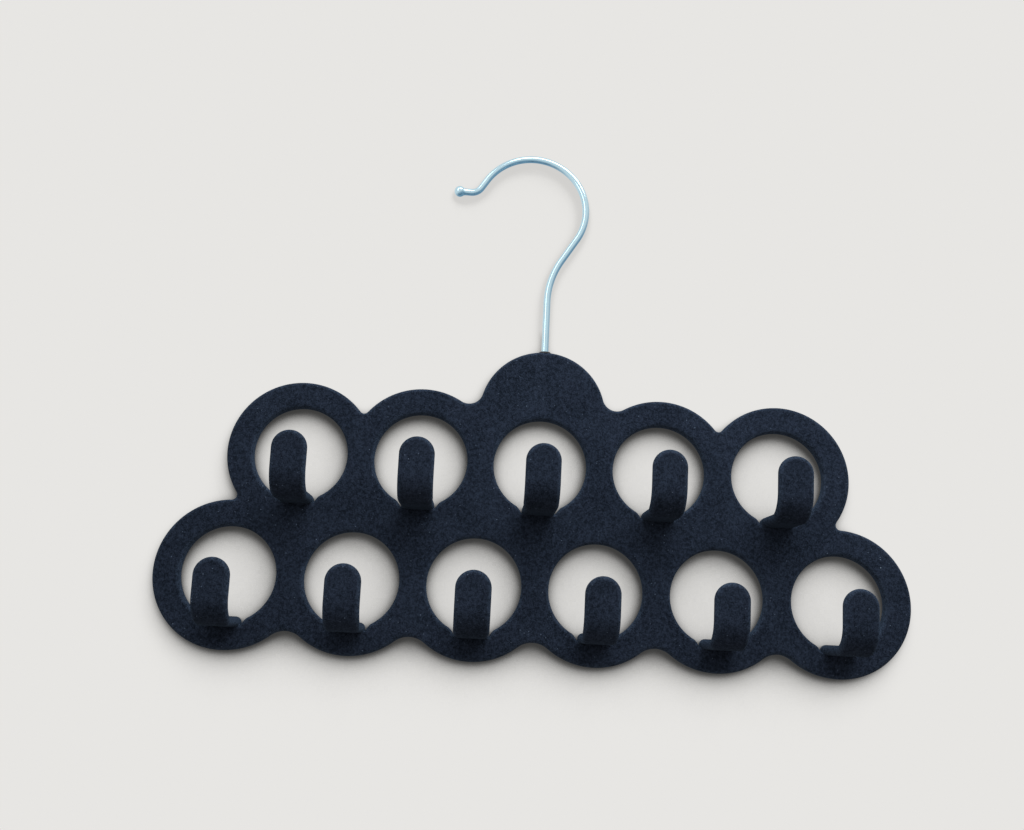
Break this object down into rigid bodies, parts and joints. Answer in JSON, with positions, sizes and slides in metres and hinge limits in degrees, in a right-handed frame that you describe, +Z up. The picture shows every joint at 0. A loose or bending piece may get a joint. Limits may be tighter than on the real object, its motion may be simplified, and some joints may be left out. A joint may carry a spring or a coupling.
{
  "type": "scarf hanger",
  "caption": "Flat flocked rack of joined rings, each with an upturned peg, on a swivelling chromed wire hook with a ball tip.",
  "frame": {"origin": "the saddle: the inside top of the hook's curve, where a rail carries the hanger", "axes": "+X to the right seen from the front, along the rows of rings; -Y is the front, where the pegs stand; +Z up"},
  "size_m": [0.3106, 0.0329, 0.2207],
  "materials": {
    "flocked_plastic": "moulded plastic under a short black-navy flock, matt and soft",
    "chrome_wire": "bright chromed steel wire",
    "bush_plastic": "black moulded plastic, satin"
  },
  "bodies": {
    "hook": {"hook_wire": "chrome_wire"},
    "rack": {"rack_plate": "flocked_plastic", "peg_upper_1": "flocked_plastic", "peg_upper_2": "flocked_plastic", "peg_upper_3": "flocked_plastic", "peg_upper_4": "flocked_plastic", "peg_upper_5": "flocked_plastic", "peg_lower_1": "flocked_plastic", "peg_lower_2": "flocked_plastic", "peg_lower_3": "flocked_plastic", "peg_lower_4": "flocked_plastic", "peg_lower_5": "flocked_plastic", "peg_lower_6": "flocked_plastic", "swivel_bush": "bush_plastic"}
  },
  "joints": [
    {"name": "hook_swivel", "type": "hinge", "parent": "hook", "child": "rack", "pos_m": [0.00852, 0, -0.08749], "axis": [0, 0, 1], "continuous": true}
  ]
}
